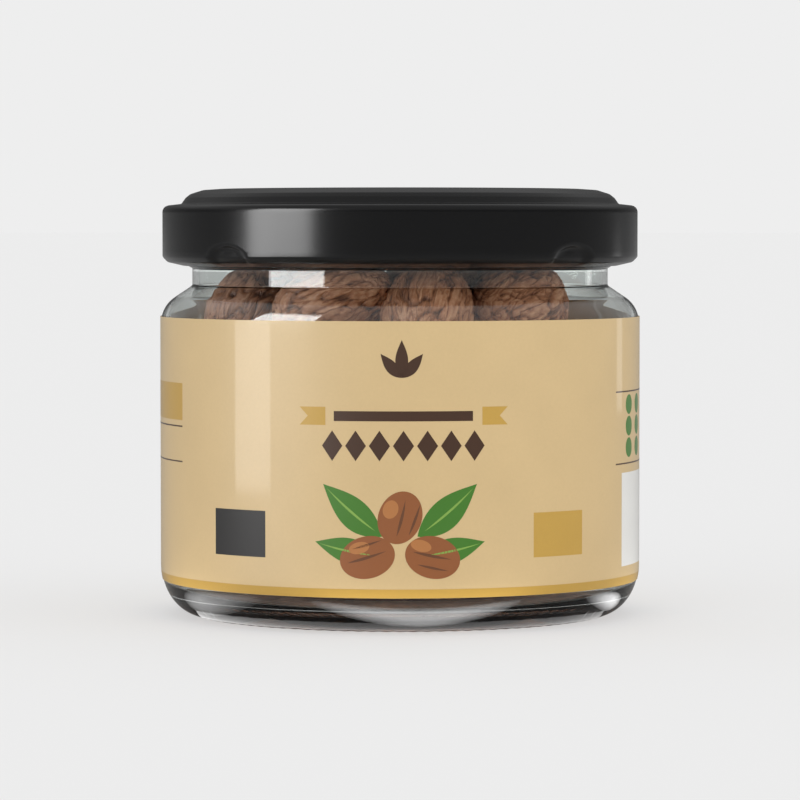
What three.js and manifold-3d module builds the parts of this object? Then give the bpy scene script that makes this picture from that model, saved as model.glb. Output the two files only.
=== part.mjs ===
// A closed glass jar of whole nutmegs: clear jar, black twist-off lid, wrap label and the heap inside.
// Millimetres, +Z up, standing on z = 0, the label's front facing -Y.
import * as THREE from 'three';
import { mergeVertices } from 'three/addons/utils/BufferGeometryUtils.js';
import Module from 'manifold-3d';

const wasm = await Module();
wasm.setup();

// Glass
const bodyRadius = 42.65;
const heelWidth = 6.65; // the heel is a quarter of an ellipse
const heelHeight = 8.0;
const shoulderCentre = 52.7; // height where the round shoulder starts
const shoulderRadius = 5.3;
const shoulderTurn = 56; // degrees that the shoulder rounds over before it runs straight to the neck
const bearingInner = 30.5; // flat ring the jar stands on
const pushUp = 1.6; // height of the hollow under the base
const neckRadius = 37.4;
const finishRadius = 38.0;
const finishBottom = 62.6;
const rimHeight = 72.8;
const wall = 2.25;
const floorHeight = 4.6;
const floorCrown = 5.4;
const mouthRadius = 35.2;
const turnSegments = 56;

// Lid
const lidRadius = 42.75;
const lidTop = 76.4;
const lidShoulder = 74.1;
const lidCorner = 1.6;
const panelEdge = 37.0;
const skirtBottom = 63.9;
const hemBottom = 62.6;
const hemInner = 38.4;
const lidSheet = 1.0;
const lugCount = 4;
const lugWidth = 11.0;
const lugHeight = 6.0;
const lugDepth = 1.1;

// Label
const labelInner = 42.9;
const labelOuter = 43.2;
const labelBottom = 6.4;
const labelTop = 53.6;
const labelGap = 4.0; // bare strip of glass at the back

// Nutmegs
const nutmegCount = 53; // with those at the front, fills the jar to just under the lid
// Nutmegs that lie against the glass above the label: degrees round from the front, height of the middle,
// then the axis, in degrees up from the level and in heading
const frontNutmegs = [
  { round: -78, height: 54.4, lean: 58, heading: 20 },
  { round: -26, height: 56.2, lean: 22, heading: -10 },
  { round: 10, height: 54.2, lean: 48, heading: 75 },
  { round: 51, height: 56.0, lean: 18, heading: 50 },
];
const nutmegWidth = 15.9;
const nutmegLength = 21.6;
const sizeSpread = 0.08;
const glassGap = 0.9;
const settleSteps = 260;
const passesPerStep = 4;
const dropPerStep = 0.12;
const coreRadius = 27.5;
const coreBottom = 14.0;
const coreTop = 55.0;
const heapTop = 62.0; // no nutmeg's middle lies higher

const goldenTurn = Math.PI * (3 - Math.sqrt(5));
const goldenShare = (Math.sqrt(5) - 1) / 2;

function fraction(value) {
  return value - Math.floor(value);
}

function solidFrom(geometry) {
  const bare = geometry.clone();
  bare.deleteAttribute('normal');
  bare.deleteAttribute('uv');
  const merged = mergeVertices(bare, 1e-4);
  return new wasm.Manifold(
    new wasm.Mesh({
      numProp: 3,
      vertProperties: merged.attributes.position.array,
      triVerts: new Uint32Array(merged.index.array),
    }),
  );
}

function geometryFrom(solid) {
  const made = solid.getMesh();
  const geometry = new THREE.BufferGeometry();
  geometry.setAttribute('position', new THREE.BufferAttribute(made.vertProperties, 3));
  geometry.setIndex(new THREE.BufferAttribute(made.triVerts, 1));
  geometry.computeVertexNormals();
  return geometry;
}

// A profile of [radius, height] pairs, listed upwards on its outside, turned about Z from the front.
function turned(profile) {
  const points = profile.map(([radius, height]) => new THREE.Vector2(radius, height));
  return new THREE.LatheGeometry(points, turnSegments).rotateX(Math.PI / 2);
}

// Points on an arc in the (radius, height) plane, angles in degrees from the +radius direction; given its
// own height, the arc is an ellipse's.
function arc(centreRadius, centreHeight, radius, startAngle, endAngle, count, high = radius) {
  return Array.from({ length: count + 1 }, (unused, index) => {
    const angle = THREE.MathUtils.degToRad(startAngle + ((endAngle - startAngle) * index) / count);
    return [centreRadius + radius * Math.cos(angle), centreHeight + high * Math.sin(angle)];
  });
}

// The round shoulder, then a straight run at its last slope up to a neck, with the corner there cut off.
function shoulderRun(radius, neck, cut, steps) {
  const round = arc(bodyRadius - shoulderRadius, shoulderCentre, radius, 0, shoulderTurn, steps);
  const [endRadius, endHeight] = round[steps];
  const slope = 1 / Math.tan(THREE.MathUtils.degToRad(shoulderTurn));
  const foot = endHeight + (endRadius - neck) * slope;
  return [...round, [neck + cut, foot - cut * slope], [neck, foot + cut]];
}

// Rounded heel, plain body, round shoulder, narrow neck and a thicker finish under the lid.
function jarProfile() {
  const insideWall = bodyRadius - wall;
  const innerFillet = 6.0;
  return [
    [0, pushUp],
    [bearingInner - 6, pushUp],
    [bearingInner, 0],
    ...arc(bodyRadius - heelWidth, heelHeight, heelWidth, -90, 0, 6, heelHeight),
    ...shoulderRun(shoulderRadius, neckRadius, 0.6, 5),
    [neckRadius, finishBottom - 0.3],
    [finishRadius, finishBottom],
    [finishRadius, rimHeight - 0.8],
    [finishRadius - 0.8, rimHeight],
    [mouthRadius + 0.8, rimHeight],
    [mouthRadius, rimHeight - 0.8],
    ...shoulderRun(shoulderRadius - wall, mouthRadius, 1.2, 3).reverse(),
    ...arc(insideWall - innerFillet, floorHeight + innerFillet, innerFillet, 0, -90, 4),
    [0, floorCrown],
  ];
}

// One press-formed lug: a half-round dimple in the skirt's lower edge, backed by a bulge inside.
function lugShape(angle, grow) {
  const bead = new THREE.SphereGeometry(1, 12, 8);
  bead.scale(lugWidth / 2 + grow, lugDepth + grow, lugHeight / 2 + grow);
  bead.translate(0, -lidRadius, skirtBottom - 0.2);
  bead.rotateZ(angle);
  return solidFrom(bead);
}

function lidProfile() {
  const inside = lidRadius - lidSheet;
  return [
    [0, rimHeight + 0.4],
    [inside - 2.2, rimHeight + 0.4],
    [inside - 0.6, rimHeight - 0.2],
    [inside, rimHeight - 1.6],
    [inside, skirtBottom + 1.0],
    [hemInner + 0.3, hemBottom + 1.1],
    [hemInner, hemBottom + 0.5],
    [hemInner + 0.4, hemBottom],
    [lidRadius - 1.0, skirtBottom - 0.6],
    [lidRadius - 0.25, skirtBottom - 0.05],
    [lidRadius, skirtBottom + 0.7],
    ...arc(lidRadius - lidCorner, lidShoulder - 0.3 - lidCorner, lidCorner, 0, 72, 4),
    [panelEdge + 2.1, lidShoulder],
    [panelEdge + 1.6, lidTop - 1.3],
    [panelEdge + 0.7, lidTop - 0.6],
    [panelEdge - 0.8, lidTop - 0.15],
    [panelEdge - 2.5, lidTop],
    [0, lidTop],
  ];
}

function makeLid() {
  let lid = solidFrom(turned(lidProfile()));
  const hemBand = solidFrom(
    new THREE.CylinderGeometry(lidRadius - 0.4, lidRadius - 0.4, 6, turnSegments)
      .rotateX(Math.PI / 2)
      .translate(0, 0, skirtBottom + 2.8),
  );
  for (let lug = 0; lug < lugCount; lug += 1) {
    const angle = Math.PI / lugCount + (lug * 2 * Math.PI) / lugCount;
    lid = lid.add(lugShape(angle, 0.6).intersect(hemBand)).subtract(lugShape(angle, 0));
  }
  return lid;
}

function makeLabel() {
  const sleeve = solidFrom(
    turned([
      [labelInner, labelBottom],
      [labelOuter, labelBottom],
      [labelOuter, labelTop],
      [labelInner, labelTop],
      [labelInner, labelBottom],
    ]),
  );
  const seam = solidFrom(new THREE.BoxGeometry(labelGap, 20, 80).translate(0, labelOuter, 30));
  return sleeve.subtract(seam);
}

// How far from the axis a ball may reach at a height: full width in the body, narrower through the neck.
function roomRadius(height) {
  const narrowing = THREE.MathUtils.smoothstep(height, 50.0, 60.5);
  return bodyRadius - wall - glassGap - narrowing * (bodyRadius - wall - mouthRadius);
}

// A nutmeg at an angle and distance from the axis, sized by its place in the count.
function nutmegAt(index, round, out, height, lean, heading) {
  const stretch = 1 + sizeSpread * (2 * fraction(index * 0.7548) - 1);
  const fatness = 1 + sizeSpread * (2 * fraction(index * 0.5698 + 0.3) - 1);
  const end = 0.39 * nutmegWidth * fatness;
  return {
    half: (nutmegWidth * fatness) / 2,
    long: (nutmegLength * stretch) / 2,
    end,
    reach: (nutmegLength * stretch) / 2 - end,
    centre: new THREE.Vector3(out * Math.sin(round), -out * Math.cos(round), height),
    axis: new THREE.Vector3(
      Math.cos(lean) * Math.cos(heading),
      Math.cos(lean) * Math.sin(heading),
      Math.sin(lean),
    ),
  };
}

// Nutmegs start on a rising golden-angle spiral; those at the front are held in their places.
function scatterNutmegs() {
  const loose = Array.from({ length: nutmegCount }, (unused, index) => {
    const out = 31 * Math.sqrt(fraction(index * goldenShare + 0.9));
    const lean = 2.2 * (fraction(index * 0.4142) - 0.5);
    const heading = 2 * Math.PI * fraction(index * 0.7321 + 0.4);
    return nutmegAt(index, index * goldenTurn, out, 14 + (62 * index) / nutmegCount, lean, heading);
  });
  const held = frontNutmegs.map(({ round, height, lean, heading }, index) => {
    const [turn, tilt, spin] = [round, lean, heading].map(THREE.MathUtils.degToRad);
    const out = roomRadius(height + nutmegWidth / 4) - nutmegWidth / 2;
    return { ...nutmegAt(nutmegCount + index, turn, out, height, tilt, spin), held: true };
  });
  return [...loose, ...held];
}

function ballsOf(nutmeg) {
  return [-1, 0, 1].map((side) => ({
    radius: side === 0 ? nutmeg.half : nutmeg.end,
    at: nutmeg.centre.clone().addScaledVector(nutmeg.axis, side * nutmeg.reach),
    push: new THREE.Vector3(),
    touches: 0,
  }));
}

// Overlapping balls share the overlap between them, and glass pushes a ball back inside.
function pushApart(piles) {
  for (let first = 0; first < piles.length; first += 1) {
    for (let second = first + 1; second < piles.length; second += 1) {
      if (piles[first][1].at.distanceTo(piles[second][1].at) > 26) continue;
      for (const one of piles[first]) {
        for (const other of piles[second]) {
          const between = one.at.clone().sub(other.at);
          const apart = between.length();
          const overlap = one.radius + other.radius - apart;
          if (overlap <= 0) continue;
          between.multiplyScalar((0.5 * overlap) / apart);
          one.push.add(between);
          other.push.sub(between);
          one.touches += 1;
          other.touches += 1;
        }
      }
    }
  }
  for (const ball of piles.flat()) {
    if (ball.touches) ball.at.addScaledVector(ball.push, 1.3 / (ball.touches + 0.3));
    ball.push.set(0, 0, 0);
    ball.touches = 0;
    ball.at.z = Math.max(ball.at.z, floorCrown + glassGap + ball.radius);
    ball.at.z = Math.min(ball.at.z, rimHeight - glassGap - ball.radius);
    const room = roomRadius(ball.at.z + 0.5 * ball.radius) - ball.radius;
    const out = Math.hypot(ball.at.x, ball.at.y);
    if (out > room) {
      ball.at.x *= room / out;
      ball.at.y *= room / out;
    }
  }
}

// Lets the spiral settle: a small drop, a few passes of pushing apart, then each axis follows its balls.
function settledNutmegs() {
  const nutmegs = scatterNutmegs();
  for (let step = 0; step < settleSteps; step += 1) {
    const drop = step < settleSteps - 40 ? dropPerStep : 0.02;
    const loose = nutmegs.filter(({ held }) => !held);
    for (const nutmeg of loose) nutmeg.centre.z -= drop;
    const piles = nutmegs.map(ballsOf);
    for (let pass = 0; pass < passesPerStep; pass += 1) pushApart(piles);
    loose.forEach((nutmeg, index) => {
      const [low, middle, high] = piles[index];
      nutmeg.centre.copy(low.at).add(middle.at).add(high.at).divideScalar(3);
      nutmeg.axis.copy(high.at).sub(low.at).normalize();
    });
  }
  return nutmegs;
}

// An egg of few sides along +Z, one end blunter, laid on the nutmeg's own axis.
function nutmegSolid(nutmeg) {
  const egg = new THREE.SphereGeometry(1, 8, 6).rotateX(Math.PI / 2);
  const place = new THREE.Quaternion().setFromUnitVectors(new THREE.Vector3(0, 0, 1), nutmeg.axis);
  egg.scale(nutmeg.half, nutmeg.half, nutmeg.long);
  egg.applyQuaternion(place);
  egg.translate(nutmeg.centre.x, nutmeg.centre.y, nutmeg.centre.z);
  return solidFrom(egg);
}

// The heap out to its uneven outline: a core with every nutmeg that shows fused on.
function makeHeap() {
  const shown = settledNutmegs().filter(({ centre }) => {
    const deep = Math.hypot(centre.x, centre.y) < coreRadius - 10;
    const hidden = deep && centre.z > coreBottom + 10 && centre.z < coreTop - 10;
    return !hidden && centre.z < heapTop;
  });
  const core = solidFrom(
    turned([
      [0, coreBottom],
      [coreRadius - 7, coreBottom],
      [coreRadius, coreBottom + 7],
      [coreRadius, coreTop - 9],
      [coreRadius - 8, coreTop],
      [0, coreTop],
    ]),
  );
  const joined = shown.reduce((heap, nutmeg) => heap.add(nutmegSolid(nutmeg)), core);
  const bodies = joined.decompose();
  bodies.sort((one, other) => other.volume() - one.volume());
  return bodies[0];
}

function part(name, geometry, color, roughness, metalness) {
  const material = new THREE.MeshStandardMaterial({ color, roughness, metalness });
  material.name = name;
  const mesh = new THREE.Mesh(geometry, material);
  mesh.name = name;
  return mesh;
}

const jarOfNutmegs = new THREE.Group();
jarOfNutmegs.name = 'jar_of_nutmegs';
const glass = part('jar', geometryFrom(solidFrom(turned(jarProfile()))), '#dfe6e4', 0.05, 0);
glass.material.transparent = true;
glass.material.opacity = 0.35;
jarOfNutmegs.add(glass);
jarOfNutmegs.add(part('lid', geometryFrom(makeLid()), '#1f1f1f', 0.38, 0.2));
jarOfNutmegs.add(part('label', geometryFrom(makeLabel()), '#d6ba85', 0.45, 0));
jarOfNutmegs.add(part('nutmegs', geometryFrom(makeHeap()), '#7a5740', 0.85, 0));

export default jarOfNutmegs;
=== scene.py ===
import bpy
import math
import numpy as np
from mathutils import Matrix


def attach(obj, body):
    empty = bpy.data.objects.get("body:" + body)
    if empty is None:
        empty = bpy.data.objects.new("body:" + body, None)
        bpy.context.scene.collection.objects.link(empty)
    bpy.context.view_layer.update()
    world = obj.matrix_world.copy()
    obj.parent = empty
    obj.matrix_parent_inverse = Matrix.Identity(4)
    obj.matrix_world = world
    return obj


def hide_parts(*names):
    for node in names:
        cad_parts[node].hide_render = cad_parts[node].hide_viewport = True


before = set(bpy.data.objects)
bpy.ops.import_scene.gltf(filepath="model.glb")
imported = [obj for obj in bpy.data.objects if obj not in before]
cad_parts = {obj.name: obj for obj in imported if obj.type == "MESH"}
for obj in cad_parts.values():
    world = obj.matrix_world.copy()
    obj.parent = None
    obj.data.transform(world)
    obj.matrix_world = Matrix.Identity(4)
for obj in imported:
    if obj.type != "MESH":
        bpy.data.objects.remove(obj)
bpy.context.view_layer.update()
print("frame loaded:", sorted(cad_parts))

mm = 0.001
hubRadius = 0.6  # first ring of points round an axis, millimetres
creaseDegrees = 40  # a sheet's edges that turn more sharply than this stay sharp


# small helpers
def hexLinear(code):
    # sRGB hex to linear: the low end is a straight line, the rest a 2.4 power
    parts = [int(code[i:i + 2], 16) / 255 for i in (1, 3, 5)]
    return tuple(c / 12.92 if c <= 0.04045 else ((c + 0.055) / 1.055) ** 2.4 for c in parts) + (1.0,)


def perMetre(sizeMm):
    return 1 / (sizeMm * mm)  # noise scale that gives features of this many millimetres


def smoothStep(low, high, value):
    # 3t2 - 2t3, with t the clipped share of the way from low to high
    t = np.clip((value - low) / (high - low), 0, 1)
    return t * t * (3 - 2 * t)


def fraction(value):
    # what is left over the whole number below
    return value - np.floor(value)


def addNode(tree, kind, inputs=None, **settings):
    # an input that is a socket is linked, and any other is set as a value
    node = tree.nodes.new(kind)
    for key, value in settings.items():
        setattr(node, key, value)
    for socket, value in (inputs or {}).items():
        if isinstance(value, bpy.types.NodeSocket):
            tree.links.new(value, node.inputs[socket])
        else:
            node.inputs[socket].default_value = value
    return node


def newMaterial(name, **sockets):
    # the shader's sockets by name, with an underscore for each space
    material = bpy.data.materials.new(name)
    material.use_nodes = True
    tree = material.node_tree
    shader = tree.nodes["Principled BSDF"]
    for socket, value in sockets.items():
        shader.inputs[socket.replace("_", " ")].default_value = value
    return material, tree, shader


def newPiece(name, points, faces, material, replaced=None, creased=False):
    # points in millimetres; faces is a list of index arrays, one for each polygon size
    mesh = bpy.data.meshes.new(name)
    polygons = [polygon for part in faces for polygon in part.tolist()]
    mesh.from_pydata((points.reshape(-1, 3) * mm).tolist(), [], polygons)
    mesh.polygons.foreach_set("use_smooth", np.ones(len(mesh.polygons), dtype=bool))
    if creased:
        mesh.set_sharp_from_angle(angle=math.radians(creaseDegrees))
    mesh.materials.append(material)
    mesh.update()
    piece = bpy.data.objects.new(name, mesh)
    bpy.context.scene.collection.objects.link(piece)
    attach(piece, "root")
    if replaced:
        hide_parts(replaced)
    print("made", name, len(mesh.polygons), "faces")
    return piece


def arcPath(centre, wide, high, start, end, steps):
    # part of an ellipse in the (radius, height) plane, degrees from straight out
    angle = np.radians(np.linspace(start, end, steps + 1))
    return np.stack([centre[0] + wide * np.cos(angle), centre[1] + high * np.sin(angle)], axis=1)


def roundedPath(corners, steps=7):
    # each corner (radius, height, rounding) gives way to an arc that touches both its edges: it starts
    # rounding / tan(half the corner's angle) before the corner and is swept round its own middle
    path = []
    for i, (r, z, rounding) in enumerate(corners):
        here = np.array([r, z])
        if rounding <= 0 or i in (0, len(corners) - 1):
            path.append(here[None])
            continue
        back = np.array(corners[i - 1][:2]) - here
        ahead = np.array(corners[i + 1][:2]) - here
        backLength, aheadLength = np.linalg.norm(back), np.linalg.norm(ahead)
        back, ahead = back / backLength, ahead / aheadLength
        half = 0.5 * np.arccos(np.clip(back @ ahead, -1, 1))
        cut = min(rounding / np.tan(half), 0.48 * backLength, 0.48 * aheadLength)
        radius = cut * np.tan(half)
        middle = here + (back + ahead) / np.linalg.norm(back + ahead) * radius / np.sin(half)
        first = here + back * cut - middle
        last = here + ahead * cut - middle
        sweep = np.arccos(np.clip(first @ last / radius ** 2, -1, 1))
        t = np.linspace(0, 1, steps + 1)[:, None]
        path.append(middle + (np.sin((1 - t) * sweep) * first + np.sin(t * sweep) * last) / np.sin(sweep))
    return np.concatenate(path)


def evenPath(path, spacing):
    # points put in along each straight run, so that no step is longer than the spacing
    steps = np.maximum(np.ceil(np.linalg.norm(np.diff(path, axis=0), axis=1) / spacing).astype(int), 1)
    share = (np.arange(steps.sum()) - np.repeat(np.cumsum(steps) - steps, steps)) / np.repeat(steps, steps)
    start, end = np.repeat(path[:-1], steps, axis=0), np.repeat(path[1:], steps, axis=0)
    return np.concatenate([start + (end - start) * share[:, None], path[-1:]])


def turnGrid(profile, count):
    # a profile carried round Z: point (r, z) goes to (r sin a, -r cos a, z), with a = 0 at the front
    angle = np.arange(count) * 2 * np.pi / count
    ring = np.stack([np.sin(angle), -np.cos(angle)], axis=1)
    height = np.repeat(profile[:, None, 1:], count, axis=1)
    return np.concatenate([profile[:, None, :1] * ring[None], height], axis=2)


def cappedFaces(rings, count):
    # quads between rings of points, and a fan at each end onto a middle point listed after them
    index = np.arange(rings * count).reshape(rings, count)
    nextOne = np.roll(index, -1, axis=1)
    quads = np.stack([index[:-1], nextOne[:-1], nextOne[1:], index[1:]], axis=-1).reshape(-1, 4)
    low = np.stack([nextOne[0], index[0], np.full(count, rings * count)], axis=-1)
    high = np.stack([index[-1], nextOne[-1], np.full(count, rings * count + 1)], axis=-1)
    return quads, np.concatenate([low, high])


def turnedSolid(grid):
    # a turned grid, closed at both ends onto the mean of its end ring
    points = np.concatenate([grid.reshape(-1, 3), grid[:1].mean(axis=1), grid[-1:].mean(axis=1)])
    return points, list(cappedFaces(*grid.shape[:2]))


def sheetSolid(outer, inner):
    # two matching open grids joined along their rims into one thin closed solid
    rows, columns = outer.shape[:2]
    a = np.arange(rows * columns).reshape(rows, columns)
    b = a + rows * columns
    front = np.stack([a[:-1, :-1], a[:-1, 1:], a[1:, 1:], a[1:, :-1]], axis=-1).reshape(-1, 4)
    back = np.stack([b[:-1, :-1], b[1:, :-1], b[1:, 1:], b[:-1, 1:]], axis=-1).reshape(-1, 4)
    rim = np.concatenate([a[0, :-1], a[:-1, -1], a[-1, :0:-1], a[:0:-1, 0]])
    after = np.roll(rim, -1)
    walls = np.stack([after, rim, rim + rows * columns, after + rows * columns], axis=-1)
    points = np.concatenate([outer.reshape(-1, 3), inner.reshape(-1, 3)])
    return points, np.concatenate([front, back, walls])


def gradientNoise(p, salt):
    # Perlin noise: a seeded slope at each whole-number corner, blended by a quintic fade
    turnHash, turnGain = np.array([127.1, 311.7, 74.7]), 43758.5453
    riseHash, riseGain = np.array([269.5, 183.3, 246.1]), 24634.6345
    cell = np.floor(p)
    f = p - cell
    fade = f * f * f * (f * (f * 6 - 15) + 10)
    total = np.zeros(p.shape[:-1])
    for corner in np.ndindex(2, 2, 2):
        c = cell + corner
        turn = 2 * np.pi * fraction(np.sin(c @ turnHash + salt) * turnGain)
        rise = 2 * fraction(np.sin(c @ riseHash + salt) * riseGain) - 1
        flat = np.sqrt(1 - rise * rise)
        d = f - corner
        slope = flat * np.cos(turn) * d[..., 0] + flat * np.sin(turn) * d[..., 1] + rise * d[..., 2]
        total += slope * np.prod(np.where(np.array(corner) == 1, fade, 1 - fade), axis=-1)
    return 1.5 * total


# glass jar, millimetres
glassJar = {
    "turns": 384, "body": 43.05, "wall": 1.0, "heelWide": 7.05, "heelHigh": 9.0,
    "shoulderLow": 52.35, "shoulderRound": 5.5, "shoulderTurn": 56,
    "neck": 37.4, "finish": 38.0, "finishLow": 62.5, "mouth": 36.4, "neckRound": 0.5, "rim": 72.8,
    "thinning": 0.7,
    "floor": 3.4, "crown": 5.4, "pushUp": 1.6, "pushUpFlat": 24, "bearing": 31.2, "foot": 36,
    "wallFoot": 40, "floorFlat": 26,
    "knurls": 96, "knurlDeep": 0.1, "knurlRing": (31.6, 32.6, 36.6, 38.6), "knurlTop": 1.2,
    "seamHigh": 0.05, "seamWide": 0.006, "seamFrom": 37, "seamLow": 1.5,  # seam width in radians
}


def glassRadius(height, jar=glassJar):
    # the outside of the body: a quarter ellipse up to the heel's height, straight, then the shoulder's arc
    below = np.clip((jar["heelHigh"] - height) / jar["heelHigh"], 0, 1)
    above = np.clip((height - jar["shoulderLow"]) / jar["shoulderRound"], 0, 1)
    pulled = jar["heelWide"] * (1 - np.sqrt(1 - below ** 2))
    return jar["body"] - pulled - jar["shoulderRound"] * (1 - np.sqrt(1 - above ** 2))


def makeGlass():
    # soda-lime flint glass, blown in a mould: clear, a little wavy, faintly green
    material, tree, shader = newMaterial("soda-lime flint glass, moulded", Transmission_Weight=1.0,
                                         Roughness=0.0, IOR=1.51, Base_Color=hexLinear("#F6FAF8"))
    where = addNode(tree, "ShaderNodeTexCoord")
    wave = addNode(tree, "ShaderNodeTexNoise",
                   {"Vector": where.outputs["Object"], "Scale": perMetre(14), "Detail": 1.0})
    bump = addNode(tree, "ShaderNodeBump", {
        "Height": wave.outputs["Fac"], "Strength": 0.2, "Distance": 0.1 * mm})
    tree.links.new(bump.outputs["Normal"], shader.inputs["Normal"])
    return material


def makeJar(p, material):
    # one closed profile, up the outside and down the inside, carried round Z
    inside = p["body"] - p["wall"]
    turnAxis = p["body"] - p["shoulderRound"]
    heel = (p["body"] - p["heelWide"], p["heelHigh"])
    shoulder = (turnAxis, p["shoulderLow"])
    lean = math.radians(p["shoulderTurn"])
    outEnd = arcPath(shoulder, p["shoulderRound"], p["shoulderRound"], 0, p["shoulderTurn"], 16)
    # blown thinner over the shoulder: the inside arc is part way between a shifted one and a parallel one
    shift = p["thinning"] * p["wall"]
    innerRound = p["shoulderRound"] - p["wall"] + shift
    inEnd = arcPath((turnAxis - shift, p["shoulderLow"]), innerRound, innerRound, p["shoulderTurn"], 0, 16)
    # from each arc's end a straight run at its own slope meets the upright neck
    neckFoot = outEnd[-1, 1] + (outEnd[-1, 0] - p["neck"]) / math.tan(lean)
    mouthFoot = inEnd[0, 1] + (inEnd[0, 0] - p["mouth"]) / math.tan(lean)
    base = roundedPath([
        (hubRadius, p["pushUp"], 0), (p["pushUpFlat"], p["pushUp"], 6),
        (p["bearing"], 0, 2.0), (p["foot"], 0, 0)])
    top = roundedPath([
        (*outEnd[-1], 0), (p["neck"], neckFoot, p["neckRound"]), (p["neck"], p["finishLow"] - 0.3, 0.2),
        (p["finish"], p["finishLow"], 0.25), (p["finish"], p["rim"], 0.8), (p["mouth"], p["rim"], 0.8),
        (p["mouth"], mouthFoot, p["neckRound"]), (*inEnd[0], 0)], 12)
    top = evenPath(top, 0.6)
    floor = roundedPath([
        (inside, p["wallFoot"], 0), (inside, p["floor"], 4.0),
        (p["floorFlat"], p["floor"] + 0.1, 8), (hubRadius, p["crown"] - 1.0, 0)])
    heelCurve = arcPath(heel, p["heelWide"], p["heelHigh"], -90, 0, 26)
    profile = np.concatenate([base[:-1], heelCurve, outEnd[:-1], top, inEnd[1:], floor])
    grid = turnGrid(profile, p["turns"])
    radius = np.hypot(grid[..., 0], grid[..., 1])
    angle = np.arctan2(grid[..., 0], -grid[..., 1])
    # crescents pressed into the standing ring: waves round the ring, faded at its edges
    inner, innerFull, outerFull, outer = p["knurlRing"]
    ring = smoothStep(inner, innerFull, radius) * (1 - smoothStep(outerFull, outer, radius))
    ring = ring * (grid[..., 2] < p["knurlTop"])
    grid[..., 2] += ring * p["knurlDeep"] * (0.5 - 0.5 * np.cos(p["knurls"] * angle))
    # the mould's joint line: one fine ridge down each side
    seam = np.exp(-((np.abs(angle) - np.pi / 2) / p["seamWide"]) ** 2)
    seam = seam * (radius > p["seamFrom"]) * (grid[..., 2] > p["seamLow"])
    grid[..., :2] *= (1 + seam * p["seamHigh"] / np.maximum(radius, 1))[..., None]
    points, faces = turnedSolid(grid)
    jar = newPiece("glassJar", points, faces, material, "jar")
    jar.visible_shadow = False  # the light reaches the nutmegs as it would through clear glass
    jar.visible_diffuse = False


makeJar(glassJar, makeGlass())


# twist-off lid, millimetres
twistLid = {
    "turns": 480, "radius": 42.75, "top": 76.4, "ledge": 73.75, "corner": 1.2,
    "panel": 36.6, "underside": 73.1,
    "skirtLow": 63.9, "hemLow": 62.6, "hemInner": 38.5, "sheet": 0.4, "skirtRows": 30,
    "lugs": 4, "lugHalf": 5.4, "lugHigh": 2.9, "lugDeep": 1.0,
}


def makeLacquer():
    # black-lacquered tinplate, pressed: satin, with the fine orange peel of a rolled-on stoving lacquer
    material, tree, shader = newMaterial("black-lacquered tinplate, satin", IOR=1.5)
    where = addNode(tree, "ShaderNodeTexCoord")
    peel = addNode(tree, "ShaderNodeTexNoise",
                   {"Vector": where.outputs["Object"], "Scale": perMetre(0.8), "Detail": 2.0})
    cloud = addNode(tree, "ShaderNodeTexNoise",
                    {"Vector": where.outputs["Object"], "Scale": perMetre(18), "Detail": 3.0})
    tone = addNode(tree, "ShaderNodeValToRGB", {"Fac": cloud.outputs["Fac"]})
    tone.color_ramp.elements[0].color = hexLinear("#080809")
    tone.color_ramp.elements[1].color = hexLinear("#0D0D0E")
    gloss = addNode(tree, "ShaderNodeMapRange", {
        "Value": cloud.outputs["Fac"], "To Min": 0.19, "To Max": 0.23})
    bump = addNode(tree, "ShaderNodeBump", {
        "Height": peel.outputs["Fac"], "Strength": 0.1, "Distance": 0.03 * mm})
    tree.links.new(tone.outputs["Color"], shader.inputs["Base Color"])
    tree.links.new(gloss.outputs["Result"], shader.inputs["Roughness"])
    tree.links.new(bump.outputs["Normal"], shader.inputs["Normal"])
    return material


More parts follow.
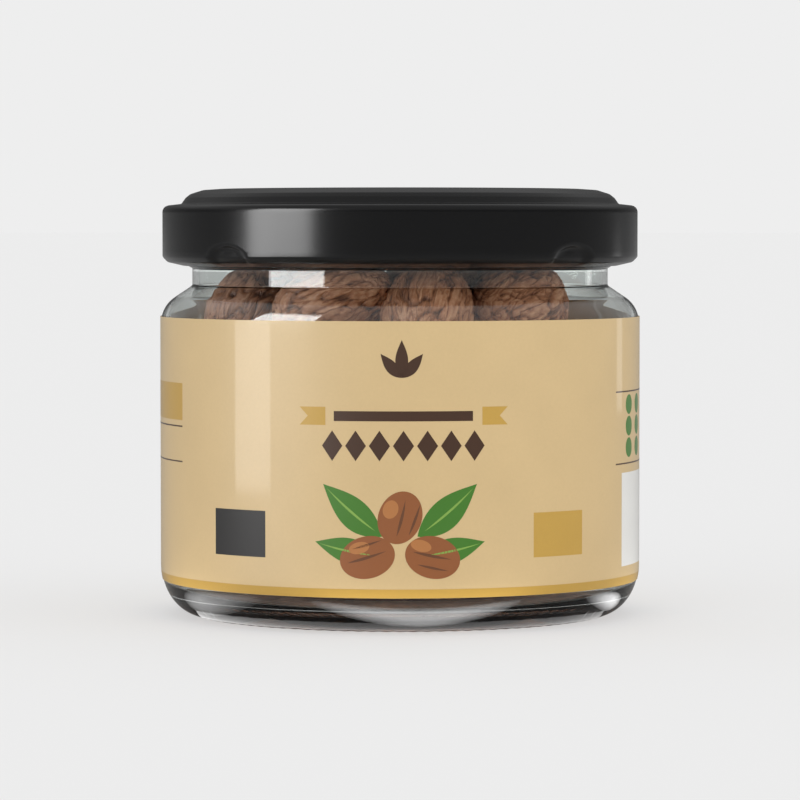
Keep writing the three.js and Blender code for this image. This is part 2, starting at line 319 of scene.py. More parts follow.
def makeLid(p, material):
    # one profile carried round Z: out along the underside, down to the hem, up the skirt and in over the
    # top; the small numbers are offsets from the named sizes and the rounding of each corner
    inside = p["radius"] - p["sheet"]
    under = roundedPath([
        (hubRadius, p["underside"], 0), (inside - 1.2, p["underside"], 1.0),
        (inside, p["underside"] - 1.4, 0.8),
        (inside, p["skirtLow"] + 1.2, 0.6), (p["hemInner"] + 0.3, p["hemLow"] + 1.1, 0.4),
        (p["hemInner"], p["hemLow"] + 0.5, 0.3), (p["hemInner"] + 0.3, p["hemLow"], 0.3),
        (p["radius"] - 0.9, p["skirtLow"] - 0.6, 1.2), (p["radius"], p["skirtLow"] + 0.35, 0.7),
        (p["radius"], p["skirtLow"] + 1.4, 0)])
    turnedEdge = p["ledge"] - 0.3 - p["corner"]
    skirtHeights = np.linspace(p["skirtLow"] + 1.5, turnedEdge - 0.2, p["skirtRows"])
    skirt = np.stack([np.full(p["skirtRows"], p["radius"]), skirtHeights], axis=1)
    corner = arcPath((p["radius"] - p["corner"], turnedEdge), p["corner"], p["corner"], 0, 76, 10)
    crown = roundedPath([
        (p["radius"] - 1.1, p["ledge"] - 0.28, 0), (p["panel"] + 2.75, p["ledge"] - 0.02, 0.4),
        (p["panel"] + 2.0, p["top"] - 1.6, 0.9), (p["panel"] + 1.1, p["top"] - 0.9, 1.2),
        (p["panel"] - 1.1, p["top"] - 0.2, 2.5), (p["panel"] - 4.1, p["top"], 8),
        (hubRadius, p["top"], 0)])
    grid = turnGrid(np.concatenate([under, skirt, corner, crown]), p["turns"])
    radius = np.hypot(grid[..., 0], grid[..., 1])
    angle = np.arctan2(grid[..., 0], -grid[..., 1])
    # lugs: half-round dimples on the lower edge, deepest on the edge and fading out over an ellipse
    pitch = 2 * np.pi / p["lugs"]
    fromLug = (np.mod(angle, pitch) - pitch / 2) * p["radius"]
    up = np.maximum(grid[..., 2] - p["skirtLow"] + 0.1, 0)
    away = np.hypot(fromLug / p["lugHalf"], up / p["lugHigh"])
    outward = smoothStep(p["hemInner"] + 0.4, p["radius"] - 0.6, radius)
    press = p["lugDeep"] * (1 - smoothStep(0.62, 1.0, away)) * outward
    grid[..., :2] *= (1 - press / np.maximum(radius, 1))[..., None]
    points, faces = turnedSolid(grid)
    newPiece("twistLid", points, faces, material, "lid")


makeLid(twistLid, makeLacquer())


# wrap label, millimetres along it from the middle of the front
wrapLabel = {"under": 0.02, "face": 0.12, "low": 6.4, "high": 53.6, "gap": 4.0, "columns": 420, "rows": 60}
labelReach = np.pi * (glassJar["body"] + wrapLabel["face"]) - wrapLabel["gap"] / 2


def makePaper(name, ink, rough=0.45):
    # clay-coated label paper, litho printed and varnished: flat even ink, a low gloss, fine fibre under it
    material, tree, shader = newMaterial(
        name, Roughness=rough, IOR=1.5, Coat_Weight=0.6, Coat_Roughness=0.06)
    where = addNode(tree, "ShaderNodeTexCoord")
    fibre = addNode(tree, "ShaderNodeTexNoise", {
        "Vector": where.outputs["Object"], "Scale": perMetre(0.5), "Detail": 4.0, "Roughness": 0.65})
    cloud = addNode(tree, "ShaderNodeTexNoise",
                    {"Vector": where.outputs["Object"], "Scale": perMetre(9), "Detail": 2.0})
    both = addNode(tree, "ShaderNodeMath",
                   {0: fibre.outputs["Fac"], 1: cloud.outputs["Fac"]}, operation="ADD")
    share = addNode(tree, "ShaderNodeMapRange", {
        "Value": both.outputs[0], "From Min": 0.6, "From Max": 1.4})
    tone = addNode(tree, "ShaderNodeValToRGB", {"Fac": share.outputs["Result"]})
    colour = np.array(hexLinear(ink)[:3])
    tone.color_ramp.elements[0].color = (*(colour * 0.965), 1)
    tone.color_ramp.elements[1].color = (*np.minimum(colour * 1.03, 1), 1)
    bump = addNode(tree, "ShaderNodeBump", {
        "Height": fibre.outputs["Fac"], "Strength": 0.08, "Distance": 0.02 * mm})
    tree.links.new(tone.outputs["Color"], shader.inputs["Base Color"])
    tree.links.new(bump.outputs["Normal"], shader.inputs["Normal"])
    return material


def onLabel(along, height, lift):
    # millimetres along the label and up it, wrapped round the glass at a lift off it: the angle is the
    # distance over the radius, and the top stands straight
    angle = along / (glassJar["body"] + wrapLabel["face"])
    radius = glassRadius(np.minimum(height, glassJar["shoulderLow"])) + lift
    return np.stack([radius * np.sin(angle), -radius * np.cos(angle), height + 0 * along], axis=-1)


def makeLabel(p, material):
    # a flat grid of distance along and height, wrapped round the glass at two lifts
    along = np.linspace(-labelReach, labelReach, p["columns"])
    along, height = np.meshgrid(along, np.linspace(p["low"], p["high"], p["rows"]))
    points, faces = sheetSolid(onLabel(along, height, p["face"]), onLabel(along, height, p["under"]))
    newPiece("wrapLabel", points, [faces], material, "label", creased=True)


makeLabel(wrapLabel, makePaper("coated label paper, tan ink", "#DABD8A"))


# the label's print: plain fields and simple shapes, each a thin film of ink on the paper
inkFilm = {"sink": 0.02, "lift": 0.015, "overlap": 0.01}


def unitGrid(columns, rows):
    # two parameters that run from -1 to 1
    return np.meshgrid(np.linspace(-1, 1, columns), np.linspace(-1, 1, rows))


def turnedTo(x, z, a, b, turn):
    # (a, b) turned by an angle in radians and moved to (x, z)
    return x + a * math.cos(turn) - b * math.sin(turn), z + a * math.sin(turn) + b * math.cos(turn)


def bar(left, right, low, high, taper=0.0):
    # a straight field; taper thins it towards both ends
    u, v = unitGrid(max(2, int((right - left) / 1.2) + 2), max(2, int((high - low) / 1.2) + 2))
    along = (left + right) / 2 + u * (right - left) / 2
    return along, (low + high) / 2 + v * (high - low) / 2 * (1 - taper * np.abs(u))


def oval(x, z, wide, high, turn=0.0):
    # a square grid bent onto a disc: u sqrt(1 - v2/2), v sqrt(1 - u2/2), then stretched and turned
    u, v = unitGrid(17, 17)
    return turnedTo(x, z, wide / 2 * u * np.sqrt(1 - v * v / 2), high / 2 * v * np.sqrt(1 - u * u / 2), turn)


def leaf(x, z, length, wide, turn, bend=0.0):
    # half width follows sin(pi t) from stalk to tip, on a spine that bends sideways as t squared
    u, v = unitGrid(25, 5)
    t = (u + 1) / 2
    half = wide / 2 * np.maximum(np.sin(np.pi * t ** 0.85), 0.01)
    return turnedTo(x, z, length * t, v * half + bend * t * t, turn)


def diamond(x, z, wide, high):
    # a square grid stood on its corner
    u, v = unitGrid(5, 5)
    return x + (u - v) * wide / 4, z + (u + v) * high / 4


def ribbonTail(inner, outer, low, high, notch):
    # a field whose outer end is cut back in a V
    u, v = unitGrid(6, 9)
    t = (u + 1) / 2
    along = inner + (outer - inner) * t - np.sign(outer - inner) * notch * t * (1 - np.abs(v))
    return along, (low + high) / 2 + v * (high - low) / 2


def mirrored(shapes):
    # the shapes, then the same on the other side of the front's middle line
    return shapes + [(-along, height) for along, height in shapes]


def makePrint(name, shapes, material, layer=0):
    # each flat shape becomes a closed film that starts just inside the paper
    lift = wrapLabel["face"] + inkFilm["lift"] + layer * inkFilm["overlap"]
    points, faces, start = [], [], 0
    for along, height in shapes:
        # a shape that is listed the other way round is turned, so that its face looks outwards
        across = (along[0, -1] - along[0, 0]) * (height[-1, 0] - height[0, 0])
        upright = (height[0, -1] - height[0, 0]) * (along[-1, 0] - along[0, 0])
        if across < upright:
            along, height = along[:, ::-1], height[:, ::-1]
        inner = onLabel(along, height, wrapLabel["face"] - inkFilm["sink"])
        somePoints, someFaces = sheetSolid(onLabel(along, height, lift), inner)
        points.append(somePoints)
        faces.append(someFaces + start)
        start += len(somePoints)
    newPiece(name, np.concatenate(points), [np.concatenate(faces)], material, creased=True)


stripeReach = labelReach - 0.05
goldShapes = [
    bar(-stripeReach, stripeReach, 6.42, 7.95),
    ribbonTail(-12.9, -17.6, 35.9, 39.0, 1.5), ribbonTail(14.3, 19.0, 35.9, 39.0, 1.5),
    bar(24.2, 35.4, 12.9, 20.6),
    bar(-82, -46.9, 35.7, 42.2),
]
brownShapes = [
    bar(-11.4, 12.6, 36.6, 38.3),
    *[diamond(0.6 + 4.1 * k, 32.4, 3.6, 5.2) for k in range(-3, 4)],
    bar(-82, -46.9, 34.5, 34.75), bar(-82, -46.9, 28.3, 28.55),
    bar(46.2, 82, 40.5, 40.75), bar(46.2, 82, 27.8, 28.05),
    leaf(0.3, 44.0, 6.4, 2.2, 1.571),
    leaf(0.3, 44.0, 5.4, 2.0, 0.75, 0.5), leaf(0.3, 44.0, 5.4, 2.0, 2.39, -0.5),
]
darkShapes = [bar(-36.0, -24.4, 12.9, 20.9)]
greenShapes = mirrored([leaf(3.0, 17.0, 13.5, 5.2, 0.62, 1.2), leaf(3.4, 13.6, 11.5, 4.4, 0.12, 1.0)]) + [
    oval(along, height, 3.5, 3.5) for along in (52.5, 58.3) for height in (38.3, 34.5, 30.7)]
seedShapes = [
    oval(0.0, 20.2, 9.2, 7.4, 1.2), oval(-5.6, 13.4, 9.6, 7.2, 0.25), oval(5.6, 13.4, 9.6, 7.2, -0.25),
]
creaseShapes = [
    leaf(-0.6, 17.0, 6.4, 0.5, 1.25, 0.5), leaf(1.5, 17.2, 5.8, 0.45, 1.15, 0.4),
    leaf(-9.0, 12.4, 7.0, 0.5, 0.25, 0.4), leaf(-8.2, 14.8, 5.4, 0.4, 0.25, 0.3),
    leaf(2.2, 14.4, 6.8, 0.5, -0.25, 0.3), leaf(3.0, 12.2, 5.6, 0.4, -0.25, 0.2),
]
sheenShapes = [
    oval(-1.6, 21.6, 3.2, 2.6, 1.2), oval(-7.0, 15.0, 3.6, 2.0, 0.25), oval(3.6, 15.4, 3.6, 2.0, -0.25),
]
veinShapes = mirrored([leaf(4.2, 17.9, 11.2, 0.4, 0.62, 1.0), leaf(4.8, 13.8, 9.4, 0.36, 0.12, 0.8)])
makePrint("printGold", goldShapes, makePaper("coated label paper, gold ink", "#C9A046", 0.38))
makePrint("printBrown", brownShapes, makePaper("coated label paper, brown ink", "#4A2C16"))
makePrint("printDark", darkShapes, makePaper("coated label paper, black ink", "#181412"))
makePrint("printGreen", greenShapes, makePaper("coated label paper, green ink", "#43801F"))
makePrint("printSeed", seedShapes, makePaper("coated label paper, nut-brown ink", "#98592A"), 1)
makePrint("printCrease", creaseShapes, makePaper("coated label paper, dark brown ink", "#6E4222"), 2)
makePrint("printSheen", sheenShapes, makePaper("coated label paper, light brown ink", "#B9783F"), 2)
makePrint("printVein", veinShapes, makePaper("coated label paper, light green ink", "#86B04A"), 1)
makePrint("printWhite", [bar(48.8, 82, 9.8, 26.3)], makePaper("coated label paper, unprinted", "#EFEEEA"))


# nutmegs, millimetres and degrees; the settling is the same rule that shapes the plain heap
nutmegHeap = {
    "count": 53, "width": 15.9, "length": 21.6, "spread": 0.08, "gap": 0.9,
    "roomBody": 39.5, "roomNeck": 34.3, "neckFrom": 50.0, "neckTo": 60.5,
    "steps": 260, "passes": 4, "drop": 0.12, "calmSteps": 40, "calmDrop": 0.02, "top": 62.0,
    "startOut": 31, "startLow": 14, "startRise": 62, "startLean": 2.2, "ballEnd": 0.78,
    "coreRadius": 27.5, "coreLow": 14.0, "coreHigh": 55.0,
    # those against the glass above the label: degrees round, height, then the axis's lean and heading
    "front": ((-78, 54.4, 58, 20), (-26, 56.2, 22, -10), (10, 54.2, 48, 75), (51, 56.0, 18, 50)),
    "fineGrid": (136, 86), "roughGrid": (60, 38), "plainGrid": (30, 20),
    "hideBy": 10, "roughFrom": 47, "roughOut": 14,
    "furrowDeep": 0.55, "furrowMm": 2.3, "stretch": 3.4,
    "mainWide": 0.09, "sideWide": 0.11, "sideFiner": 1.8,
    "blunt": 0.07, "warpMm": 6.0, "warpLongMm": 8.0, "warpBy": 1.6,
    "lumpMm": 9.0, "lumpHigh": 0.4, "crest": 0.25,
}


def roomRadius(height, p):
    # how far from the axis a nutmeg may reach: full width in the body, narrower through the neck
    return p["roomBody"] - smoothStep(p["neckFrom"], p["neckTo"], height) * (p["roomBody"] - p["roomNeck"])


def settleHeap(p, jar):
    # nutmegs start on a rising golden-angle spiral, each with three balls along its axis; a small drop,
    # then passes in which touching balls share their overlap and the glass pushes them back inside; the
    # long decimals spread sizes, places and directions evenly without chance
    i = np.arange(p["count"] + len(p["front"]))
    half = p["width"] / 2 * (1 + p["spread"] * (2 * fraction(i * 0.5698 + 0.3) - 1))
    long = p["length"] / 2 * (1 + p["spread"] * (2 * fraction(i * 0.7548) - 1))
    end = p["ballEnd"] * half
    loose = i < p["count"]
    held = np.array(p["front"], dtype=float)
    turn = i * np.pi * (3 - math.sqrt(5))
    out = p["startOut"] * np.sqrt(fraction(i * (math.sqrt(5) - 1) / 2 + 0.9))
    height = p["startLow"] + p["startRise"] * i / p["count"]
    lean = p["startLean"] * (fraction(i * 0.4142) - 0.5)
    heading = 2 * np.pi * fraction(i * 0.7321 + 0.4)
    turn[~loose], lean[~loose], heading[~loose] = np.radians(held[:, [0, 2, 3]]).T
    height[~loose] = held[:, 1]
    out[~loose] = roomRadius(held[:, 1] + p["width"] / 4, p) - p["width"] / 2
    centre = np.stack([out * np.sin(turn), -out * np.cos(turn), height], axis=1)
    axis = np.stack([np.cos(lean) * np.cos(heading), np.cos(lean) * np.sin(heading), np.sin(lean)], axis=1)
    ballRadius = np.stack([end, half, end], axis=1).ravel()
    touchAt = ballRadius[:, None] + ballRadius[None]
    strangers = np.repeat(i, 3)[:, None] != np.repeat(i, 3)[None]
    for step in range(p["steps"]):
        centre[loose, 2] -= p["drop"] if step < p["steps"] - p["calmSteps"] else p["calmDrop"]
        offset = np.array([-1.0, 0, 1.0])[None, :, None] * ((long - end)[:, None] * axis)[:, None, :]
        balls = (centre[:, None, :] + offset).reshape(-1, 3)
        for _ in range(p["passes"]):
            between = balls[:, None] - balls[None]
            apart = np.sqrt((between ** 2).sum(axis=2)) + 1e-12
            overlap = np.where(strangers, np.maximum(touchAt - apart, 0), 0)
            push = (between * (0.5 * overlap / apart)[..., None]).sum(axis=1)
            balls = balls + push * (1.3 / ((overlap > 0).sum(axis=1) + 0.3))[:, None]
            balls[:, 2] = np.maximum(balls[:, 2], jar["crown"] + p["gap"] + ballRadius)
            balls[:, 2] = np.minimum(balls[:, 2], jar["rim"] - p["gap"] - ballRadius)
            room = roomRadius(balls[:, 2] + 0.5 * ballRadius, p) - ballRadius
            reach = np.maximum(np.hypot(balls[:, 0], balls[:, 1]), 1e-9)
            balls[:, :2] *= np.minimum(1, room / reach)[:, None]
        balls = balls.reshape(-1, 3, 3)
        centre[loose] = balls.mean(axis=1)[loose]
        along = balls[:, 2] - balls[:, 0]
        axis[loose] = (along / np.linalg.norm(along, axis=1, keepdims=True))[loose]
    return centre, axis, half, long


def nutmegShells(centre, axis, half, long, salt, grid, p):
    # an egg, radius sqrt(1 - t2) with one end blunter, cut by furrows: each is a narrow valley along the
    # zero line of a noise stretched lengthwise, so that the lines wander, branch and meet like a net
    columns, rows = grid
    t = -np.cos(np.pi * np.arange(1, rows) / rows)
    around = 2 * np.pi * np.arange(columns) / columns
    girth = np.sqrt(1 - t * t) * (1 - p["blunt"] * t)
    egg = np.stack([np.outer(girth, np.cos(around)), np.outer(girth, np.sin(around)),
                    np.repeat(t[:, None], columns, 1)], axis=-1)
    egg = np.concatenate([egg.reshape(-1, 3), [[0, 0, -1], [0, 0, 1]]])
    size = np.stack([half, half, long], axis=-1)[:, None, :]
    local = egg * size
    seed = local + (salt[:, None] * np.array([31.7, 17.3, 53.9]))[:, None, :]
    warp = np.stack([gradientNoise(seed / p["warpMm"], 3.0), gradientNoise(seed / p["warpMm"], 11.0),
                     gradientNoise(seed / p["warpLongMm"], 23.0)], axis=-1)
    net = (seed + p["warpBy"] * warp) * np.array([1, 1, 1 / p["stretch"]]) / p["furrowMm"]
    main = np.exp(-(gradientNoise(net, 5.0) / p["mainWide"]) ** 2)
    side = np.exp(-(gradientNoise(net * p["sideFiner"], 41.0) / p["sideWide"]) ** 2)
    ends = 1 - 0.55 * np.abs(egg[:, 2]) ** 6
    furrow = (0.8 * main + 0.3 * side) * ends
    lift = p["lumpHigh"] * gradientNoise(seed / p["lumpMm"], 67.0) - p["furrowDeep"] * furrow
    outward = egg / size
    outward /= np.linalg.norm(outward, axis=-1, keepdims=True)
    local = local + outward * np.minimum(lift, p["crest"])[..., None]
    # each egg stands on its own axis, with a side direction square to it
    helper = np.where(np.abs(axis[:, 2:]) < 0.9, [[0.0, 0, 1]], [[1.0, 0, 0]])
    across = np.cross(helper, axis)
    across /= np.linalg.norm(across, axis=1, keepdims=True)
    basis = np.stack([across, np.cross(axis, across), axis], axis=1)
    points = np.einsum("nvk,nkd->nvd", local, basis) + centre[:, None, :]
    step = (np.arange(len(centre)) * len(egg))[:, None, None]
    quads, fans = cappedFaces(rows - 1, columns)
    return points, (quads + step).reshape(-1, 4), (fans + step).reshape(-1, 3), furrow, seed


def makeKernel():
    # dried nutmeg kernel out of its shell: matt brown, with painted shade that darkens the colour in the
    # furrows and fine creases, so the ridges read paler
    material, tree, shader = newMaterial("dried nutmeg kernel, furrowed", Roughness=0.6, IOR=1.45)
    furrow = addNode(tree, "ShaderNodeAttribute", attribute_name="furrow")
    seed = addNode(tree, "ShaderNodeAttribute", attribute_name="seedPlace")  # millimetres along each nutmeg
    fleck = addNode(tree, "ShaderNodeTexNoise", {
        "Vector": seed.outputs["Vector"], "Scale": 1 / 1.1, "Detail": 4.0, "Roughness": 0.6})
    cloud = addNode(tree, "ShaderNodeTexNoise", {
        "Vector": seed.outputs["Vector"], "Scale": 1 / 7.0, "Detail": 2.0})
    squeeze = addNode(tree, "ShaderNodeMapping", {
        "Vector": seed.outputs["Vector"], "Scale": (1.0, 1.0, 0.22)})
    streak = addNode(tree, "ShaderNodeTexNoise",
                     {"Vector": squeeze.outputs["Vector"], "Scale": 1 / 0.9, "Detail": 3.0})
    # hair-fine creases between the furrows: where a drawn-out noise crosses its middle
    fold = addNode(tree, "ShaderNodeTexNoise", {
        "Vector": squeeze.outputs["Vector"], "Scale": 1 / 1.9, "Detail": 2.0, "Distortion": 0.5})
    fromMiddle = addNode(tree, "ShaderNodeMath", {0: fold.outputs["Fac"], 1: 0.5}, operation="SUBTRACT")
    fromMiddle = addNode(tree, "ShaderNodeMath", {0: fromMiddle.outputs[0]}, operation="ABSOLUTE")
    crease = addNode(tree, "ShaderNodeMapRange", {
        "Value": fromMiddle.outputs[0], "From Max": 0.05, "To Min": 1.0, "To Max": 0.0},
        interpolation_type="SMOOTHSTEP")
    # painted shade: the furrow share and the fine creases darken the colour, as shade in the grooves would
    cut = addNode(tree, "ShaderNodeMath", {
        0: crease.outputs["Result"], 1: 0.4, 2: furrow.outputs["Fac"]}, operation="MULTIPLY_ADD")
    level = addNode(tree, "ShaderNodeMath", {0: cut.outputs[0], 1: -0.52}, operation="MULTIPLY").outputs[0]
    for noise, share in ((fleck, 0.45), (streak, 0.5), (cloud, 0.5)):
        level = addNode(tree, "ShaderNodeMath", {0: noise.outputs["Fac"], 1: share, 2: level},
                        operation="MULTIPLY_ADD").outputs[0]
    tone = addNode(tree, "ShaderNodeValToRGB", {"Fac": level})
    ramp = tone.color_ramp
    ramp.elements[0].position, ramp.elements[0].color = 0.15, hexLinear("#5A3420")
    ramp.elements[1].position, ramp.elements[1].color = 0.92, hexLinear("#DCA984")
    ramp.elements.new(0.58).color = hexLinear("#AE7553")
    grain = addNode(tree, "ShaderNodeMath",
                    {0: fleck.outputs["Fac"], 1: 0.5, 2: streak.outputs["Fac"]}, operation="MULTIPLY_ADD")
    relief = addNode(tree, "ShaderNodeMath", {
        0: crease.outputs["Result"], 1: -1.0, 2: grain.outputs[0]}, operation="MULTIPLY_ADD")
    bump = addNode(tree, "ShaderNodeBump", {
        "Height": relief.outputs[0], "Strength": 0.6, "Distance": 0.3 * mm})
    tree.links.new(tone.outputs["Color"], shader.inputs["Base Color"])
    tree.links.new(bump.outputs["Normal"], shader.inputs["Normal"])
    return material


def addSeedData(piece, furrow, seed):
    # each point's share of a furrow, and its place on its own nutmeg in millimetres
    layers = piece.data.attributes
    furrowLayer = layers.new("furrow", "FLOAT", "POINT")
    furrowLayer.data.foreach_set("value", furrow.astype(np.float32).ravel())
    placeLayer = layers.new("seedPlace", "FLOAT_VECTOR", "POINT")
    placeLayer.data.foreach_set("vector", seed.astype(np.float32).ravel())


def makeHeap(p, jar, material):
    # the settled nutmegs that can be seen, in three grades of detail, round a plain turned core
    centre, axis, half, long = settleHeap(p, jar)
    out = np.hypot(centre[:, 0], centre[:, 1])
    low, high = p["coreLow"], p["coreHigh"]
    inHeight = (centre[:, 2] > low + p["hideBy"]) & (centre[:, 2] < high - p["hideBy"])
    hidden = (out < p["coreRadius"] - p["hideBy"]) & inHeight
    shown = ~hidden & (centre[:, 2] < p["top"])
    rough = shown & (centre[:, 2] > p["roughFrom"]) & (out > p["roughOut"])
    fine = rough & (np.arange(len(centre)) >= p["count"])
    salt = np.arange(len(centre)) + 1.0
    parts, start = [], 0
    grades = (
        (fine, p["fineGrid"]), (rough & ~fine, p["roughGrid"]), (shown & ~rough, p["plainGrid"]))
    for chosen, grid in grades:
        points, quads, fans, furrow, seed = nutmegShells(
            centre[chosen], axis[chosen], half[chosen], long[chosen], salt[chosen], grid, p)
        parts.append((
            points.reshape(-1, 3), quads + start, fans + start, furrow.ravel(), seed.reshape(-1, 3)))
        start += points.shape[0] * points.shape[1]
    points, quads, fans, furrow, seed = [np.concatenate(column) for column in zip(*parts)]
    piece = newPiece("nutmegHeap", points, [quads, fans], material, "nutmegs")
    addSeedData(piece, furrow, seed)
    # the middle of the heap, behind the nutmegs that show, painted dark as the shade deep in the heap
    wide = p["coreRadius"] - 2
    profile = roundedPath([
        (hubRadius, low, 0), (wide - 6, low, 3), (wide, low + 8, 3),
        (wide, high - 11, 3), (wide - 8, high - 2, 3), (hubRadius, high - 2, 0)])
    points, faces = turnedSolid(turnGrid(profile, 96))
    core = newPiece("nutmegCore", points, faces, material)
    # a furrow share of 1.2, more than any nutmeg has, gives the core the darkest kernel colour: painted
    # shade
    addSeedData(core, np.full(len(points), 1.2), points)
    print("nutmegs shown:", int(shown.sum()), "fine:", int(fine.sum()))


makeHeap(nutmegHeap, glassJar, makeKernel())


# studio, metres
studio = {
    "backdrop": 0.855, "skyHigh": 1.15, "skyLow": 0.45, "glossHigh": 0.35, "glossLow": 0.12,
    "floorTone": 0.755, "floorInGloss": 0.3, "floorThroughGlass": 0.4, "floorGlow": 0.6,
    "ceilingFrom": 0.2, "ceilingTo": 0.62, "floorHalf": 60.0,
    "eyeBack": 0.720, "eyeUp": 0.0694, "pitch": 2.467, "lens": 179.6, "lampFar": 0.4,
}


def makeFloor(p):
    # a matt pale card, shown dimmer to rays that reach it in a reflection or through the glass
    size = p["floorHalf"]
    mesh = bpy.data.meshes.new("floor")
    corners = [(-size, -size, 0), (size, -size, 0), (size, size, 0), (-size, size, 0)]
    mesh.from_pydata(corners, [], [(0, 1, 2, 3)])
    material, tree, shader = newMaterial("matt studio card", Roughness=1.0, Specular_IOR_Level=0.0)
    path = addNode(tree, "ShaderNodeLightPath")
    tone = addNode(tree, "ShaderNodeMix", {
        "Factor": path.outputs["Is Glossy Ray"], 2: p["floorTone"], 3: p["floorInGloss"]}, data_type="FLOAT")
    tone = addNode(tree, "ShaderNodeMix", {
        "Factor": path.outputs["Is Transmission Ray"], 2: tone.outputs[0], 3: p["floorThroughGlass"]},
        data_type="FLOAT")
    # seen straight, most of its light is its own, which keeps the shadow on it faint
    seen = path.outputs["Is Camera Ray"]
    kept = addNode(tree, "ShaderNodeMapRange", {"Value": seen, "To Min": 1.0, "To Max": 1 - p["floorGlow"]})
    tone = addNode(tree, "ShaderNodeMath", {0: tone.outputs[0], 1: kept.outputs[0]}, operation="MULTIPLY")
    glow = addNode(tree, "ShaderNodeMath",
                   {0: seen, 1: p["floorGlow"] * p["backdrop"]}, operation="MULTIPLY")
    shader.inputs["Emission Color"].default_value = (1, 1, 1, 1)
    tree.links.new(glow.outputs[0], shader.inputs["Emission Strength"])
    tree.links.new(tone.outputs[0], shader.inputs["Base Color"])
    mesh.materials.append(material)
    floor = bpy.data.objects.new("floor", mesh)
    bpy.context.scene.collection.objects.link(floor)


def makeSky(p):
    # a bright soft ceiling over a dim band at eye level, dimmer still in gloss, and a plain pale backdrop
    world = bpy.data.worlds.new("studio")
    bpy.context.scene.world = world
    world.use_nodes = True
    tree = world.node_tree
    tree.nodes.clear()
    where = addNode(tree, "ShaderNodeTexCoord")
    split = addNode(tree, "ShaderNodeSeparateXYZ", {0: where.outputs["Generated"]})
    rise = addNode(tree, "ShaderNodeMapRange", {
        "Value": split.outputs["Z"], "From Min": p["ceilingFrom"], "From Max": p["ceilingTo"]},
        interpolation_type="SMOOTHSTEP").outputs["Result"]
    path = addNode(tree, "ShaderNodeLightPath")
    light = addNode(tree, "ShaderNodeMix",
                    {"Factor": rise, 2: p["skyLow"], 3: p["skyHigh"]}, data_type="FLOAT")
    gloss = addNode(tree, "ShaderNodeMix",
                    {"Factor": rise, 2: p["glossLow"], 3: p["glossHigh"]}, data_type="FLOAT")
    either = addNode(tree, "ShaderNodeMix", {
        "Factor": path.outputs["Is Glossy Ray"], 2: light.outputs[0], 3: gloss.outputs[0]},
        data_type="FLOAT")
    seen = addNode(tree, "ShaderNodeMath", {
        0: path.outputs["Is Camera Ray"], 1: path.outputs["Is Transmission Ray"]}, operation="MAXIMUM")
    strength = addNode(tree, "ShaderNodeMix", {
        "Factor": seen.outputs[0], 2: either.outputs[0], 3: p["backdrop"]}, data_type="FLOAT")
    glow = addNode(tree, "ShaderNodeBackground", {"Color": (1, 1, 1, 1), "Strength": strength.outputs[0]})
    addNode(tree, "ShaderNodeOutputWorld", {"Surface": glow.outputs[0]})


def placeLight(name, data, bearing, far, height, tilt):
    # a light that looks at the jar's axis from a bearing round it, degrees from the front
    lamp = bpy.data.objects.new(name, data)
    angle = math.radians(bearing)
    lamp.location = (far * math.sin(angle), -far * math.cos(angle), height)
    lamp.rotation_euler = (math.pi / 2 - math.radians(tilt), 0, angle)
    lamp.visible_camera = False
    bpy.context.scene.collection.objects.link(lamp)
    return lamp


def makeSoftBox(name, bearing, wide, low, high, radiance, far):
    # a soft box that shows in gloss only; watts are radiance x pi x area
    data = bpy.data.lights.new(name, "AREA")
    data.shape = "RECTANGLE"
    data.size = 2 * far * math.tan(math.radians(wide / 2))
    data.size_y = high - low
    data.energy = math.pi * data.size * data.size_y * radiance
    lamp = placeLight(name, data, bearing, far, (low + high) / 2, 0)
    lamp.visible_diffuse = False


def makeBounce(name, bearing, wide, far, deep, radiance, shape="ELLIPSE", lift=0.3):
    # a small bright card lying on the floor by the glass, in millimetres: it shows in the heel and lights
    # the lowest nutmegs
    data = bpy.data.lights.new(name, "AREA")
    data.shape = shape
    data.size, data.size_y = wide * mm, deep * mm
    filled = math.pi / 4 if shape == "ELLIPSE" else 1
    data.energy = math.pi * filled * data.size * data.size_y * radiance
    lamp = placeLight(name, data, bearing, far * mm, lift * mm, -90)
    lamp.visible_transmission = False


def makeSoftCard(name, bearing, wide, far, deep, radiance, layers=6):
    # cards of falling size a hair above one another, full size to 0.4 of it, so that the edge fades
    for k in range(layers):
        part = 1 - 0.6 * k / (layers - 1)
        makeBounce(name, bearing, wide * part, far, deep * part, radiance / layers, lift=0.3 + 0.02 * k)


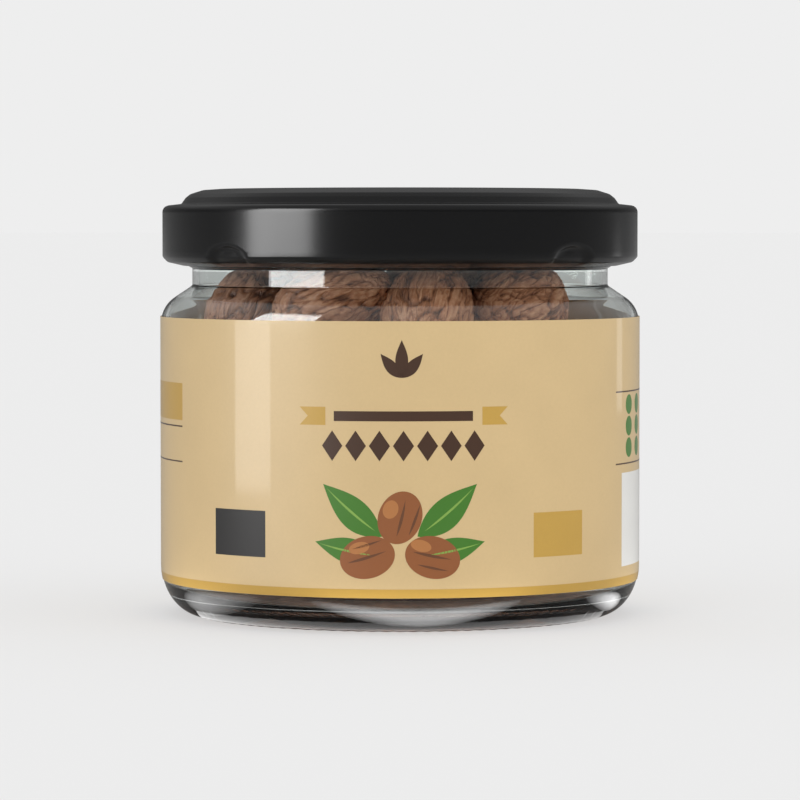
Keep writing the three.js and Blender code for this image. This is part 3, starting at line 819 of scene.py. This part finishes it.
def makeSun(name, bearing, rise, wide, strength):
    # a broad soft light that shows in no gloss
    data = bpy.data.lights.new(name, "SUN")
    data.energy = strength
    data.angle = math.radians(wide)
    lamp = placeLight(name, data, bearing, 2.0, 0.6, rise)
    lamp.visible_glossy = False
    lamp.visible_transmission = False


def makeCamera(p):
    # straight in front of the jar at the eye's distance and height, tipped down by the pitch
    camera = bpy.data.objects.new("camera", bpy.data.cameras.new("camera"))
    camera.data.sensor_width = 36
    camera.data.lens = p["lens"]
    camera.data.clip_start = 0.01
    camera.data.clip_end = 200
    camera.location = (0, -p["eyeBack"], p["eyeUp"])
    camera.rotation_euler = (math.radians(90 - p["pitch"]), 0, 0)
    bpy.context.scene.collection.objects.link(camera)
    bpy.context.scene.camera = camera


makeFloor(studio)
makeSky(studio)
softBoxes = {  # bearing and width in degrees, lower and upper edge in metres, radiance
    "lidBox": (-57, 33, 0.046, 0.35, 7.6),
    "labelBox": (-70.5, 20, 0.0, 0.046, 3.6),
    "edgeBox": (124, 6, 0.02, 0.06, 1.2),
}
softCards = {  # bearing in degrees, width, distance from the axis and depth in millimetres, radiance
    "frontCard": (5, 48, 42.4, 6.4, 8.0),
    "leftCard": (-60, 32, 45.5, 12.0, 2.6),
    "rightCard": (72, 20, 45.0, 10.0, 4.0),
}
rimCards = {  # small cards in a row round the front of the foot, a little dimmer towards the right
    "bearings": range(-64, 65, 8), "wide": 5.6, "far": 39.0, "deep": 2.4, "radiance": 1.0, "fall": 0.004,
}
suns = {  # bearing, height above level and softness in degrees, strength
    "keyLight": (-38, 5, 28, 0.62),  # from the front left, models the nutmegs
    "fillLight": (72, 4, 60, 0.9),  # from the right, evens the label
}
for name, values in softBoxes.items():
    makeSoftBox(name, *values, studio["lampFar"])
for name, values in softCards.items():
    makeSoftCard(name, *values)
for bearing in rimCards["bearings"]:
    radiance = rimCards["radiance"] - rimCards["fall"] * bearing
    makeBounce("rimCard", bearing, rimCards["wide"], rimCards["far"], rimCards["deep"], radiance,
               "RECTANGLE")
for name, values in suns.items():
    makeSun(name, *values)
makeCamera(studio)
bpy.context.scene.view_settings.view_transform = "Standard"
bpy.context.scene.view_settings.look = "None"
print("studio ready")
